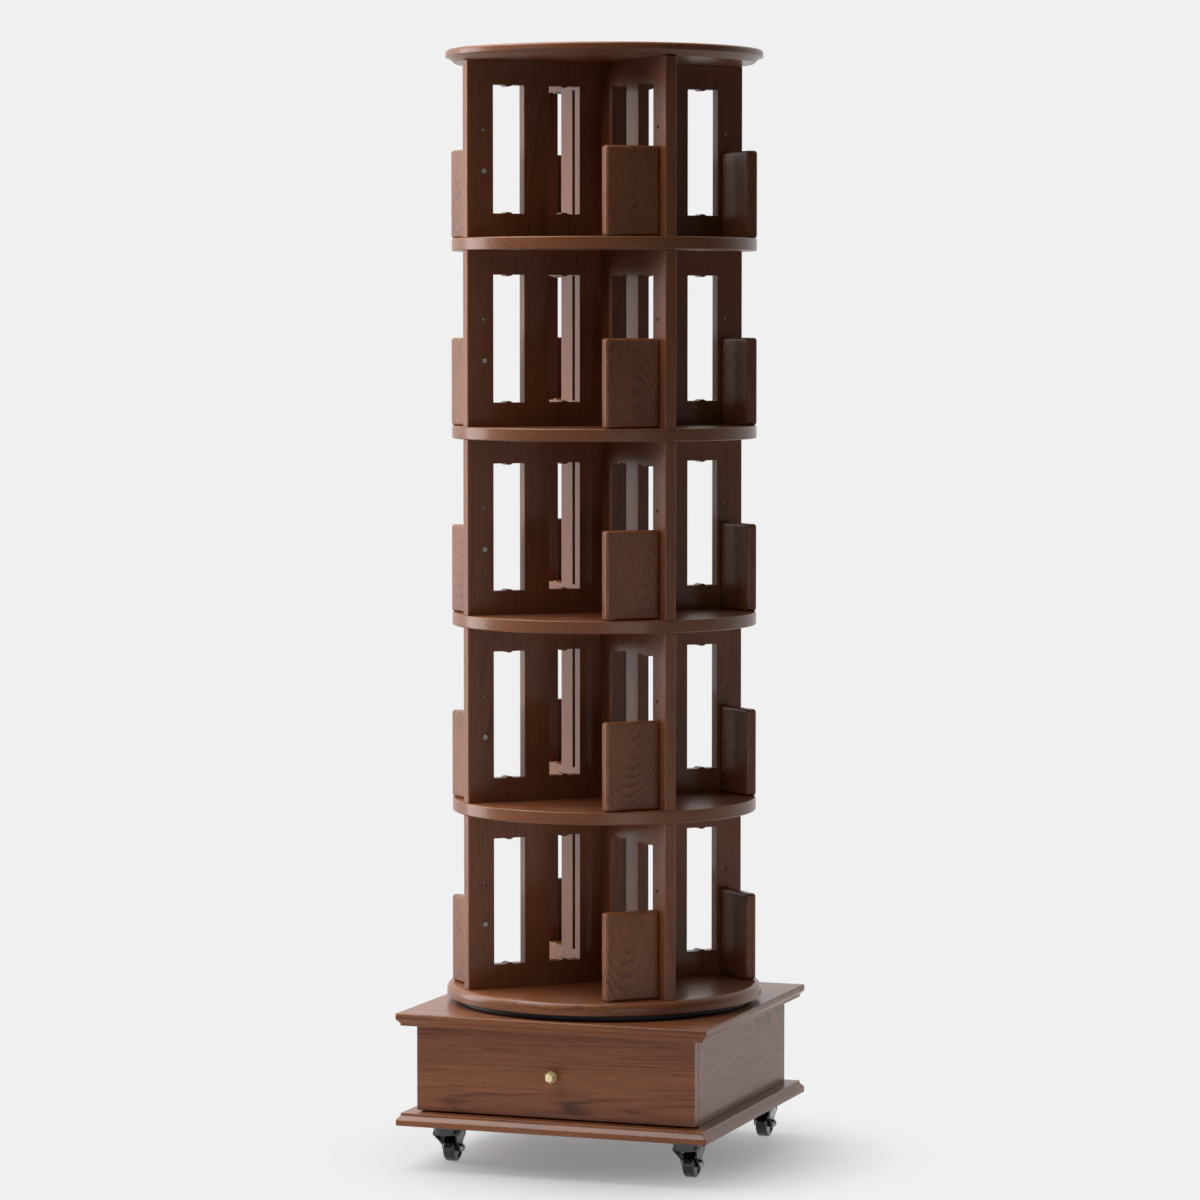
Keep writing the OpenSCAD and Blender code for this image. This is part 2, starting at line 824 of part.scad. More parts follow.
// Side outline of a fork leg: down the front, round the axle, up to the pedal's pin
function leg_outline() = let (
    hub = [trail, wheel_r],
    eye = [pedal_y, pedal_z],
    down = hub - leg_front,
    up = eye - hub,
    a0 = atan2(down[1], down[0]) - asin(axle_boss_r / norm(down)) - 90,
    a1 = atan2(up[1], up[0]) - 90 + asin((axle_boss_r - pedal_eye_r) / norm(up)),
    top = crown_top - fork_t / 2)
    concat(
        [[leg_front[0], crown_low + 0.5], leg_front],
        arc(hub, axle_boss_r, a0, a1, 8), arc(eye, pedal_eye_r, a1, 90, 5),
        [[leg_top, crown_low + 0.5], [leg_top, top], [-leg_top, top], [-leg_top, crown_low + 0.5]]);

module caster_fork() {
    leg_x = fork_gap / 2 + fork_t / 2;
    difference() {
        union() {
            difference() {
                translate([0, 0, crown_low]) cylinder(d = crown_d, h = crown_h);
                translate([0, 0, crown_low - 1])
                    cylinder(d = crown_d - 2 * fork_t, h = crown_h + 1 - fork_t);
            }
            for (s = [-1, 1]) translate([s * leg_x, 0, 0]) rotate([90, 0, 90])
                linear_extrude(fork_t, center = true) polygon(leg_outline());
            translate([0, pedal_y, pedal_z]) rotate([0, 90, 0])
                cylinder(d = pedal_pin_d, h = fork_gap + 2 * fork_t + 2, center = true);
        }
        translate([0, 0, crown_low]) cylinder(d = kingpin_d + 2 * fit, h = crown_h + 1);
        translate([0, trail, wheel_r]) rotate([0, 90, 0])
            cylinder(d = axle_d + 2 * fit, h = 3 * fork_gap, center = true);
    }
}

module caster_wheel() {
    h = wheel_w / 2;
    bore = axle_d / 2 + fit;
    translate([0, trail, wheel_r]) rotate([0, 90, 0]) rotate_extrude() polygon(concat(
        [[bore, -hub_w / 2], [hub_d / 2, -hub_w / 2], [hub_d / 2, -h + wheel_dish]],
        [[wheel_r - 6, -h + wheel_dish], [wheel_r - 5, -h]],
        arc([wheel_r - tyre_round, -h + tyre_round], tyre_round, -90, 0),
        arc([wheel_r - tyre_round, h - tyre_round], tyre_round, 0, 90),
        [[wheel_r - 5, h], [wheel_r - 6, h - wheel_dish]],
        [[hub_d / 2, h - wheel_dish], [hub_d / 2, hub_w / 2], [bore, hub_w / 2]]));
}

module caster_axle() {
    out = fork_gap / 2 + fork_t;
    translate([-out, trail, wheel_r]) rotate([0, 90, 0]) {
        screw(axle_d, 2 * out + nut_h + axle_tail, axle_head_d, axle_head_h);
        translate([0, 0, 2 * out]) difference() {
            cylinder(d = nut_d, h = nut_h, $fn = 6);
            translate([0, 0, -1]) cylinder(d = axle_d + 2 * fit, h = nut_h + 2);
        }
    }
}

// Brake pedal: a hub on its pin, a shoe over the wheel and a pad that tips up behind
module brake_pedal() {
    pin = [pedal_y, pedal_z];
    low = pin + [pedal_arm, 0.5 - pedal_arm_t];
    arm = concat(
        [pin + [0, pedal_hub_r], pin + [pedal_arm - 3, 1], low + [0, pedal_arm_t], low],
        arc([trail, wheel_r], wheel_r + shoe_gap, shoe_angle, pin_angle));
    pad = [low + [-1, pedal_arm_t + 0.3], pin + pedal_pad + [-1, pedal_pad_t], pin + pedal_pad, low];
    difference() {
        union() {
            translate([0, pedal_y, pedal_z]) rotate([0, 90, 0])
                cylinder(r = pedal_hub_r, h = pedal_hub_w, center = true);
            rotate([90, 0, 90]) linear_extrude(pedal_hub_w, center = true) polygon(arm);
            rotate([90, 0, 90]) linear_extrude(pedal_w, center = true) polygon(pad);
        }
        translate([0, pedal_y, pedal_z]) rotate([0, 90, 0])
            cylinder(d = pedal_pin_d + 2 * fit, h = 2 * fork_gap, center = true);
    }
}

module at_caster(i) translate([caster_at[i][0], caster_at[i][1], 0]) children();

module fork(i) color("#33353a") at_caster(i) caster_fork();

module wheel(i) color("#151517") at_caster(i) caster_wheel();

module axle(i) color("#a8a8a8") at_caster(i) caster_axle();

module pedal(i) color("#1a1a1c") at_caster(i) brake_pedal();

base_top_board();
base_bottom_board();
base_side_left();
base_side_right();
base_back_panel();
base_fasteners();
runner_channels();
caster_plates();
turntable_lower_ring();
drawer_front();
drawer_side_left();
drawer_side_right();
drawer_back();
drawer_bottom();
drawer_rails();
drawer_knob();
drawer_screws();
runner_balls();
turntable_upper_ring();
turntable_screws();
turntable_balls();
bottom_disc();
shelf_disc(1);  // shelf_disc_1
shelf_disc(2);  // shelf_disc_2
shelf_disc(3);  // shelf_disc_3
shelf_disc(4);  // shelf_disc_4
top_disc();
cross_panel_a(1);  // cross_panel_a_1
cross_panel_a(2);  // cross_panel_a_2
cross_panel_a(3);  // cross_panel_a_3
cross_panel_a(4);  // cross_panel_a_4
cross_panel_a(5);  // cross_panel_a_5
cross_panel_b(1);  // cross_panel_b_1
cross_panel_b(2);  // cross_panel_b_2
cross_panel_b(3);  // cross_panel_b_3
cross_panel_b(4);  // cross_panel_b_4
cross_panel_b(5);  // cross_panel_b_5
book_stops(1);  // book_stops_1
book_stops(2);  // book_stops_2
book_stops(3);  // book_stops_3
book_stops(4);  // book_stops_4
book_stops(5);  // book_stops_5
stop_screws();
panel_dowels();
fork(0);  // caster_fork_front_left
fork(1);  // caster_fork_front_right
fork(2);  // caster_fork_back_left
fork(3);  // caster_fork_back_right
wheel(0);  // caster_wheel_front_left
wheel(1);  // caster_wheel_front_right
wheel(2);  // caster_wheel_back_left
wheel(3);  // caster_wheel_back_right
axle(0);  // caster_axle_front_left
axle(1);  // caster_axle_front_right
axle(2);  // caster_axle_back_left
axle(3);  // caster_axle_back_right
pedal(0);  // brake_pedal_front_left
pedal(1);  // brake_pedal_front_right
pedal(2);  // brake_pedal_back_left
pedal(3);  // brake_pedal_back_right
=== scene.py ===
"""Looks of the revolving bookcase: stained wood, casters, brass knob and a pale studio."""
import json
import math
import random

import bmesh
import bpy
from mathutils import Matrix, Vector


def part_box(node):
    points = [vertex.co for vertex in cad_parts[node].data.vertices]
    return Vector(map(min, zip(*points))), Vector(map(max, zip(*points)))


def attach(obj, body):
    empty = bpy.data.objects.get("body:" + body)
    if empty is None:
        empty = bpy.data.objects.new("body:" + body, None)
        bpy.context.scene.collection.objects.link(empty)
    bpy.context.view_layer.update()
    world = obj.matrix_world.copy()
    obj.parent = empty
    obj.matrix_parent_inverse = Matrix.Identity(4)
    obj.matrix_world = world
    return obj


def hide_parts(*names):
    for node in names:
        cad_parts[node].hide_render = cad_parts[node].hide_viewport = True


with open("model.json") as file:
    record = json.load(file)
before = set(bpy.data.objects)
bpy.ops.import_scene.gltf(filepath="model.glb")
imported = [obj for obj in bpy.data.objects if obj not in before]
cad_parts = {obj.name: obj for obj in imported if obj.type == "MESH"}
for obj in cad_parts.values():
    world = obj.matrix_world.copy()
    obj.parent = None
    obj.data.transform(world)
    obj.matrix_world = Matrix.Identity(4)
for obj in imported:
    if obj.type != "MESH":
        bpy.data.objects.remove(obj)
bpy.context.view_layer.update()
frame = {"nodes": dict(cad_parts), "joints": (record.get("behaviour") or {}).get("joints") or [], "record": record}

MM = 0.001
BODY = {n: b for b, nodes in frame["record"]["behaviour"]["bodies"].items() for n in nodes}
SLOT = {s["node"]: s["material_slot"] for s in frame["record"]["subparts"]}
JOINT = {j["name"]: j for j in frame["joints"]}
CORNERS = ["front_left", "front_right", "back_left", "back_right"]
TIERS = 5
ARMS = 4
UP = Vector((0, 0, 1))
RIGHT = Vector((1, 0, 0))
BACK = Vector((0, 1, 0))

# The column stands turned by this angle, so an arm points to each corner of the base
COLUMN_TURN = math.radians(45)


# Camera

# How far to the right of the front the camera stands, how far from the column's axis and
# how high
CAMERA_AZIMUTH = math.radians(19.744)
CAMERA_DISTANCE = 6.402
CAMERA_HEIGHT = 1.202
CAMERA_WIDTH_ANGLE = math.radians(15.26)
# How far it looks down, and how far past the axis
CAMERA_DOWN = math.radians(3.611)
CAMERA_ASIDE = math.radians(0.055)
CAMERA_REACH = 200


def make_camera():
    """The photograph's view: slightly above the middle, turned to the right of the front."""
    data = bpy.data.cameras.new("camera")
    data.sensor_fit = "HORIZONTAL"
    data.angle = CAMERA_WIDTH_ANGLE
    data.clip_end = CAMERA_REACH
    camera = bpy.data.objects.new("camera", data)
    bpy.context.scene.collection.objects.link(camera)
    camera.location = (CAMERA_DISTANCE * math.sin(CAMERA_AZIMUTH),
                       -CAMERA_DISTANCE * math.cos(CAMERA_AZIMUTH), CAMERA_HEIGHT)
    yaw = CAMERA_AZIMUTH + CAMERA_ASIDE
    ahead = Vector((-math.sin(yaw) * math.cos(CAMERA_DOWN),
                    math.cos(yaw) * math.cos(CAMERA_DOWN), -math.sin(CAMERA_DOWN)))
    camera.rotation_euler = ahead.to_track_quat("-Z", "Y").to_euler()
    bpy.context.scene.camera = camera


# Materials

# Mean width of a growth ring in the wood
RING_PITCH = 5.2 * MM
# How often each pattern of the wood changes in a metre, across the log (X and Y) and along it
WANDERS = (7, 7, 1.3)
RIPPLES = (45, 45, 4)
RING_FADES = (34, 34, 2.4)
FIBRES = (900, 900, 12)
STREAKS = (220, 220, 4)
TONES = (12, 12, 1.5)
PORES = (1400, 1400, 60)
WOOD_RUBS = (90, 90, 90)
# How far the log's heart wanders in metres, and how far its rings ripple in ring widths
WANDER = (0.035, 0.035, 0)
RIPPLE = 1.1
# How dark a growth ring is, from its inside to its outside
RING_SHADES = [(0.0, 0.3), (0.1, 0.02), (0.5, 0.16), (0.88, 1.0), (1.0, 0.3)]
# How much of a ring is left where it fades most
FAINT_RING = 0.12
# The wood's mean colour, from 0 at its lightest to 1 at its darkest, and what is taken off
# for the rings' own mean darkness
MEAN_DEPTH = 0.46
RING_BALANCE = -0.14
# How often metal changes in a metre
MOTTLES = 70.0
SCRATCHES = (300, 300, 300)
METAL_RUBS = 350.0
# How dark a mottle is against the metal's own colour
MOTTLE_SHADE = 0.75


class Nodes:
    """A node tree, whose nodes are added and linked by short calls."""

    def __init__(self, tree):
        self.tree = tree

    def add(self, kind, inputs=None, **settings):
        node = self.tree.nodes.new("ShaderNode" + kind)
        for key, value in settings.items():
            setattr(node, key, value)
        for key, value in (inputs or {}).items():
            self.put(node.inputs[key], value)
        return node

    def put(self, place, value):
        if isinstance(value, bpy.types.NodeSocket):
            self.tree.links.new(value, place)
        else:
            place.default_value = value

    def math(self, operation, a, b=0.0, c=0.0, clamp=False):
        node = self.add("Math", {0: a, 1: b, 2: c}, operation=operation, use_clamp=clamp)
        return node.outputs[0]

    def sum(self, start, *parts, clamp=False):
        """start plus each part's value times its weight."""
        for k, (value, weight) in enumerate(parts):
            start = self.math("MULTIPLY_ADD", value, weight, start, clamp and k == len(parts) - 1)
        return start

    def vector_math(self, operation, a, b=(0, 0, 0), output=0):
        return self.add("VectorMath", {0: a, 1: b}, operation=operation).outputs[output]

    def mix(self, share, a, b):
        return self.add("Mix", {0: share, 6: a, 7: b}, data_type="RGBA").outputs[2]

    def noise(self, place, scale=1.0, detail=2.0, roughness=0.5):
        """Noise about zero, mostly between -0.5 and 0.5."""
        inputs = {"Vector": place, "Scale": scale, "Detail": detail, "Roughness": roughness}
        return self.math("SUBTRACT", self.add("TexNoise", inputs).outputs[0], 0.5)

    def stretched(self, place, scale):
        return self.vector_math("MULTIPLY", place, scale)

    def between(self, value, low, high, start=0.0, end=1.0):
        """A smooth step from start to end while the value goes from low to high."""
        inputs = {0: value, 1: low, 2: high, 3: start, 4: end}
        return self.add("MapRange", inputs, interpolation_type="SMOOTHSTEP").outputs[0]

    def ramp(self, value, stops):
        node = self.add("ValToRGB", {0: value})
        points = node.color_ramp.elements
        while len(points) < len(stops):
            points.new(0.5)
        for point, (position, grey) in zip(points, stops):
            point.position = position
            point.color = (grey, grey, grey, 1)
        return node.outputs[0]

    def attribute(self, name, output):
        return self.add("Attribute", attribute_name=name).outputs[output]

    def bump(self, height, strength, distance):
        inputs = {"Height": height, "Strength": strength, "Distance": distance}
        return self.add("Bump", inputs).outputs[0]


class Shader(Nodes):
    """A material with a Principled surface."""

    def __init__(self, name):
        self.material = bpy.data.materials.new(name)
        self.material.use_nodes = True
        super().__init__(self.material.node_tree)
        self.surface = self.tree.nodes["Principled BSDF"]

    def set(self, **inputs):
        for key, value in inputs.items():
            self.put(self.surface.inputs[key.replace("_", " ")], value)


def colour(r, g, b):
    return (r, g, b, 1.0)


def grey(level):
    return colour(level, level, level)


def wood(name, light, middle, dark, worn, roughness, specular, lacquer):
    """Wood that is cut from a log: growth rings, fibres, pores and slow changes of tone.

    The mesh's grain attribute gives each point's place in its plank's log, in metres:
    X and Y across the log, and Z along it. Its figure attribute says how strongly the
    whole pattern shows, and its wear attribute marks the arrises.
    """
    s = Shader(name)
    place = s.attribute("grain", "Vector")
    figure = s.attribute("figure", "Fac")
    wave = s.add("TexNoise", {"Vector": s.stretched(place, WANDERS), "Scale": 1.0, "Detail": 2.0})
    wave = s.vector_math("SUBTRACT", wave.outputs[1], (0.5, 0.5, 0.5))
    bent = s.vector_math("ADD", place, s.stretched(wave, WANDER))
    radius = s.vector_math("LENGTH", s.stretched(bent, (1, 1, 0)), output="Value")
    ripple = s.noise(s.stretched(place, RIPPLES), detail=3.0)
    rings = s.sum(s.math("MULTIPLY", radius, 1 / RING_PITCH), (ripple, RIPPLE))
    late = s.ramp(s.math("FRACT", rings), RING_SHADES)
    strength = s.between(s.noise(s.stretched(place, RING_FADES)), -0.1, 0.2, FAINT_RING, 1.0)
    late = s.math("MULTIPLY", late, strength)
    fibre = s.noise(s.stretched(place, FIBRES), detail=3.0, roughness=0.6)
    streak = s.noise(s.stretched(place, STREAKS), detail=3.0, roughness=0.6)
    tone = s.noise(s.stretched(place, TONES))
    pore = s.between(s.noise(s.stretched(place, PORES), detail=1.0), 0.1, 0.18)
    pore = s.math("MULTIPLY", pore, s.math("SUBTRACT", 1.0, late))
    depth = s.sum(RING_BALANCE, (late, 0.7), (streak, 1.15), (fibre, 0.6), (tone, 1.0),
                  (pore, 0.22))
    depth = s.math("MULTIPLY_ADD", depth, figure, MEAN_DEPTH, clamp=True)
    paint = s.mix(s.math("MULTIPLY", depth, 2.0, clamp=True), light, middle)
    paint = s.mix(s.math("MULTIPLY_ADD", depth, 2.0, -1.0, clamp=True), paint, dark)
    rub = s.between(s.noise(s.stretched(place, WOOD_RUBS), detail=3.0), -0.15, 0.2)
    rub = s.math("MULTIPLY", rub, s.attribute("wear", "Fac"))
    paint = s.mix(s.math("MULTIPLY", rub, 0.4), paint, worn)
    gloss = s.sum(roughness, (streak, 0.1), (pore, 0.1), (rub, 0.05))
    relief = s.sum(0.0, (pore, -1.0), (fibre, 0.8), (late, -0.3))
    s.set(Base_Color=paint, Roughness=gloss, Specular_IOR_Level=specular, Coat_Weight=lacquer,
          Coat_Roughness=0.16, Normal=s.bump(relief, strength=0.2, distance=0.0003))
    return s.material


def metal(name, base, worn, roughness, metallic=0.0, coat=0.0):
    """Metal or paint on metal, with a mottled tone, fine scratches and bright rubbed arrises."""
    s = Shader(name)
    place = s.add("TexCoord").outputs["Object"]
    mottle = s.noise(place, scale=MOTTLES, detail=3.0)
    fine = s.noise(s.stretched(place, SCRATCHES), detail=3.0, roughness=0.65)
    shaded = colour(*[c * MOTTLE_SHADE for c in base[:3]])
    paint = s.mix(s.sum(0.5, (mottle, 0.9), clamp=True), base, shaded)
    rub = s.between(s.noise(place, scale=METAL_RUBS, detail=2.0), -0.12, 0.15)
    rub = s.math("MULTIPLY", rub, s.attribute("wear", "Fac"))
    paint = s.mix(s.math("MULTIPLY", rub, 0.5), paint, worn)
    gloss = s.sum(roughness, (fine, 0.2), (mottle, 0.12), clamp=True)
    s.set(Base_Color=paint, Roughness=gloss, Metallic=metallic, Coat_Weight=coat,
          Coat_Roughness=0.06, Normal=s.bump(fine, strength=0.12, distance=0.0001))
    return s.material


MATERIAL = {
    "stained_wood": wood(
        "stained_wood", light=colour(0.245, 0.087, 0.035), middle=colour(0.182, 0.0605, 0.0235),
        dark=colour(0.078, 0.0245, 0.0105), worn=colour(0.29, 0.13, 0.07),
        roughness=0.34, specular=0.16, lacquer=0.3),
    "plain_wood": wood(
        "plain_wood", light=colour(0.58, 0.42, 0.27), middle=colour(0.47, 0.32, 0.19),
        dark=colour(0.33, 0.20, 0.11), worn=colour(0.66, 0.52, 0.37),
        roughness=0.55, specular=0.3, lacquer=0.0),
    "black_metal": metal("black_metal", colour(0.009, 0.009, 0.010), colour(0.05, 0.05, 0.055),
                         roughness=0.22, coat=0.6),
    "zinc_steel": metal("zinc_steel", colour(0.62, 0.62, 0.61), grey(0.8),
                        roughness=0.34, metallic=1.0),
    "brass": metal("brass", colour(1.0, 0.85, 0.45), colour(1.0, 0.92, 0.62),
                   roughness=0.36, metallic=0.55),
    "black_plastic": metal("black_plastic", grey(0.006), grey(0.03), roughness=0.15, coat=0.7),
}
DULL_BLACK = metal("dull_black_metal", colour(0.006, 0.005, 0.005), grey(0.03), roughness=0.55)
DARK_STEEL = metal("dark_steel", colour(0.33, 0.34, 0.31), colour(0.5, 0.5, 0.48),
                   roughness=0.34, metallic=1.0)
# Nodes whose finish differs from their slot's
FINISH = {"turntable_upper_ring": DULL_BLACK, "turntable_lower_ring": DULL_BLACK,
          "stop_screws": DARK_STEEL}


# Meshes

# Faces that meet at less than this angle are shaded smoothly across their edge
SMOOTH_ANGLE = math.radians(38)
# Arrises that are sharper than this many degrees are rounded
SHARP = 35
# What counts as one point, and as one flat face, in a CAD node's mesh
SAME_POINT = 1e-6
SAME_FACE = math.radians(0.5)
# A profile's point nearer to the axis than this lies on it
ON_AXIS = 1e-9


def finished(name, bm, material):
    """A new object from a bmesh, smooth across its arrises and flat on its faces."""
    mesh = bpy.data.meshes.new(name)
    bm.normal_update()
    bm.to_mesh(mesh)
    bm.free()
    for face in mesh.polygons:
        face.use_smooth = True
    mesh.set_sharp_from_angle(angle=SMOOTH_ANGLE)
    mesh.materials.append(material)
    piece = bpy.data.objects.new(name, mesh)
    bpy.context.scene.collection.objects.link(piece)
    weighted = piece.modifiers.new("weighted_normals", "WEIGHTED_NORMAL")
    weighted.keep_sharp = True
    return piece


def stand_in(node, bm):
    """A piece from a bmesh that stands for a CAD node: it rides with it and takes its slot."""
    material = FINISH.get(node, MATERIAL[SLOT[node]])
    piece = finished("dressed_" + node, bm, material)
    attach(piece, BODY[node])
    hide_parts(node)


def coloured(node):
    """A CAD node that keeps its mesh and takes its slot's material."""
    piece = frame["nodes"][node]
    piece.data.materials.clear()
    piece.data.materials.append(MATERIAL[SLOT[node]])


def lay_grain(bm, along, face, seed, heart=(0.02, 0.07), lean=0.03, figure=1.0):
    """Gives points their place in the plank's log, with the grain along one direction.

    face is the direction that the plank's wide side looks in. heart says how far the log's
    heart lies from the plank's middle, across its width and behind its face. lean is how
    far the log leans out of the plank's face, and figure is how strongly its pattern shows.
    """
    layer = bm.verts.layers.float_vector.get("grain") or bm.verts.layers.float_vector.new("grain")
    strength = bm.verts.layers.float.get("figure") or bm.verts.layers.float.new("figure")
    w = Vector(along).normalized()
    v = (Vector(face) - w * w.dot(Vector(face))).normalized()
    u = w.cross(v)
    middle = sum((vert.co for vert in bm.verts), Vector()) / len(bm.verts)
    draw = random.Random(seed)
    lean *= draw.choice((-1, 1)) * draw.uniform(0.7, 1.3)
    shift = Vector((heart[0] * draw.choice((-1, 1)) * draw.uniform(0.5, 1.5),
                    heart[1] * draw.uniform(0.7, 1.3), draw.uniform(1, 9)))
    for vert in bm.verts:
        p = vert.co - middle
        vert[layer] = Vector((p.dot(u), p.dot(v) + lean * p.dot(w), p.dot(w))) + shift
        vert[strength] = figure


def bevelled(bm, width, segments=2, limit=SHARP):
    """Rounds every arris that is sharper than the limit, and marks the new faces as worn."""
    layer = bm.loops.layers.float.get("wear") or bm.loops.layers.float.new("wear")
    edges = [e for e in bm.edges if e.is_manifold and e.calc_face_angle(0) > math.radians(limit)]
    made = bmesh.ops.bevel(bm, geom=edges, offset=width, offset_type="OFFSET", segments=segments,
                           profile=0.5, affect="EDGES", clamp_overlap=False)
    for face in made["faces"]:
        for loop in face.loops:
            loop[layer] = 1.0


def copy_of(node):
    """The CAD node's mesh as a clean bmesh: welded, with flat faces whole again."""
    bm = bmesh.new()
    bm.from_mesh(frame["nodes"][node].data)
    bmesh.ops.remove_doubles(bm, verts=bm.verts, dist=SAME_POINT)
    bmesh.ops.dissolve_limit(bm, angle_limit=SAME_FACE, verts=bm.verts, edges=bm.edges)
    for layers in (bm.loops.layers.float_vector, bm.loops.layers.uv):
        for layer in list(layers.values()):
            layers.remove(layer)
    return bm


def dressed(node, width, along=UP, face=BACK, segments=2, seed=0, limit=SHARP, **grain):
    """A CAD node with arrises rounded to the width, and with its grain laid."""
    bm = copy_of(node)
    bevelled(bm, width, segments, limit)
    if SLOT[node].endswith("wood"):
        lay_grain(bm, along, face, seed, **grain)
    stand_in(node, bm)


def lathe(bm, profile, steps, centre=Vector(), axis=UP, side=RIGHT):
    """Turns a closed profile of (radius, height) points about an axis, and returns its verts."""
    rows = []
    other = axis.cross(side)
    for radius, height in profile:
        count = steps if radius > ON_AXIS else 1
        rows.append([bm.verts.new(centre + axis * height + radius * (
            side * math.cos(2 * math.pi * k / steps) + other * math.sin(2 * math.pi * k / steps)))
            for k in range(count)])
    for row, following in zip(rows, rows[1:] + rows[:1]):
        for k in range(steps):
            ring = [row[k % len(row)], row[(k + 1) % len(row)],
                    following[(k + 1) % len(following)], following[k % len(following)]]
            ring = list(dict.fromkeys(ring))
            if len(ring) > 2:
                bm.faces.new(ring)
    return [vert for row in rows for vert in row]


def arc(centre, radius, start, end, count=6):
    """Points of an arc in a profile, with its angles in degrees."""
    angles = [math.radians(start + (end - start) * k / count) for k in range(count + 1)]
    return [(centre[0] + radius * math.cos(a), centre[1] + radius * math.sin(a)) for a in angles]


def quarter(count):
    """Angles from 0 to 90 degrees in so many equal steps."""
    return [math.radians(90 / count * k) for k in range(count + 1)]


# Column

DISC_STEPS = 240
# A ring of points inside a disc's faces, as a share of its radius
INNER_RING = 0.5


def disc(node, edge, seed):
    """A round shelf, turned from its edge, with the grain running from left to right."""
    bm = bmesh.new()
    low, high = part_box(node)
    r, t = high.x, high.z - low.z
    profile = [(0, 0), (r * INNER_RING, 0)] + edge(r, t) + [(r * INNER_RING, t), (0, t)]
    lathe(bm, profile, DISC_STEPS, Vector((0, 0, low.z)))
    bmesh.ops.recalc_face_normals(bm, faces=bm.faces)
    lay_grain(bm, RIGHT, UP, seed, heart=(0.05, 0.16), lean=0.02, figure=0.5)
    stand_in(node, bm)


def shelf_edge(r, t):
    """A shelf's edge from below: flat, with rounded arrises."""
    arris = 2 * MM
    return arc((r - arris, arris), arris, -90, 0) + arc((r - arris, t - arris), arris, 0, 90)


def top_edge(r, t):
    """The top disc's edge from below: a bevel, a small step and a rounded nose."""
    step = 4 * MM
    bevel = 8 * MM
    nose = 10 * MM
    arris = 1 * MM
    low = t - nose
    return (arc((r - step - bevel - arris, arris), arris, -90, -45, 2)
            + [(r - step - arris * 0.3, low - arris * 0.3), (r - step, low)]
            + arc((r - arris, low + arris), arris, -90, 0, 3)
            + arc((r - step, t - step), step, 0, 90, 8))


def bottom_edge(r, t):
    """The lowest disc's edge from below: an upright nose, and a long curve up to its top."""
    nose = 7 * MM
    reach = 9 * MM
    arris = 1 * MM
    curve = [(r - reach * (1 - math.cos(a)), nose + (t - nose) * math.sin(a))
             for a in quarter(12)]
    return arc((r - arris, arris), arris, -90, 0, 4) + curve


def make_column():
    disc("bottom_disc", bottom_edge, seed=11)
    disc("top_disc", top_edge, seed=12)
    for i in range(1, TIERS):
        disc(f"shelf_disc_{i}", shelf_edge, seed=20 + i)
    for i in range(1, TIERS + 1):
        for k, letter in enumerate("ab"):
            turn = COLUMN_TURN + k * math.pi / 2
            side = Vector((-math.sin(turn), math.cos(turn), 0))
            dressed(f"cross_panel_{letter}_{i}", 0.7 * MM, UP, side, seed=30 + 2 * i + k, limit=50,
                    heart=(0.12, 0.05), figure=0.45)
        stops(i)


def stops(i):
    """The four book stops of a tier, each a block with round edges and upright grain."""
    bm = bmesh.new()
    low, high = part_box(f"book_stops_{i}")
    height = high.z - low.z
    thick, wide, panel, edge = 17 * MM, 82.5 * MM, 17 * MM, 4.5 * MM
    # How far out the blocks stand, from the outermost X of their rounded corners
    radius = (high.x - edge) * math.sqrt(2) - panel / 2 - wide - thick / 2 + 2 * edge
    for arm in range(ARMS):
        turn = COLUMN_TURN + arm * math.pi / 2
        outward = Vector((math.cos(turn), math.sin(turn), 0))
        sideways = Vector((math.sin(turn), -math.cos(turn), 0))
        centre = outward * radius + sideways * (panel / 2 + wide / 2) + UP * (low.z + height / 2)
        block = bmesh.new()
        bmesh.ops.create_cube(block, size=1.0)
        turned = Matrix((outward, sideways, UP)).transposed().to_4x4()
        place = Matrix.Translation(centre) @ turned @ Matrix.Diagonal((thick, wide, height, 1))
        bmesh.ops.transform(block, matrix=place, verts=block.verts)
        bevelled(block, edge, segments=6)
        lay_grain(block, UP, outward, seed=100 + ARMS * i + arm, heart=(0.014, 0.03), lean=0.32,
                  figure=0.85)
        mesh = bpy.data.meshes.new("block")
        block.to_mesh(mesh)
        block.free()
        bm.from_mesh(mesh)
        bpy.data.meshes.remove(mesh)
    bmesh.ops.recalc_face_normals(bm, faces=bm.faces)
    stand_in(f"book_stops_{i}", bm)


# Base

def make_base():
    for n, node in enumerate(("base_top_board", "base_bottom_board")):
        dressed(node, 0.9 * MM, RIGHT, UP, seed=60 + n, segments=3, heart=(0.05, 0.12), figure=0.7)
    for n, node in enumerate(("base_side_left", "base_side_right")):
        dressed(node, 0.6 * MM, BACK, RIGHT, seed=63 + n, heart=(0.03, 0.04), lean=0.12)
    dressed("base_back_panel", 0.6 * MM, RIGHT, BACK, seed=66)
    dressed("drawer_front", 0.8 * MM, RIGHT, BACK, seed=67, segments=3,
            heart=(0.025, 0.045), lean=0.05, figure=1.1)
    for n, node in enumerate(("drawer_side_left", "drawer_side_right")):
        dressed(node, 0.5 * MM, BACK, RIGHT, seed=70 + n)
    dressed("drawer_back", 0.5 * MM, RIGHT, BACK, seed=73)
    dressed("drawer_bottom", 0.3 * MM, RIGHT, UP, seed=74)
    for node in ("runner_channels", "drawer_rails"):
        dressed(node, 0.2 * MM)
    dressed("drawer_knob", 0.4 * MM, segments=3)


# Casters and other metalwork

CROWN_STEPS = 72
PIN_STEPS = 24
# Points round a quarter of a small circle
QUARTER_STEPS = 6
# The pressed sheet that a fork is made of
SHEET = 2.5 * MM


def smooth_step(share):
    share = min(max(share, 0.0), 1.0)
    return share * share * (3 - 2 * share)


def mixed(a, b, share):
    return a + (b - a) * share


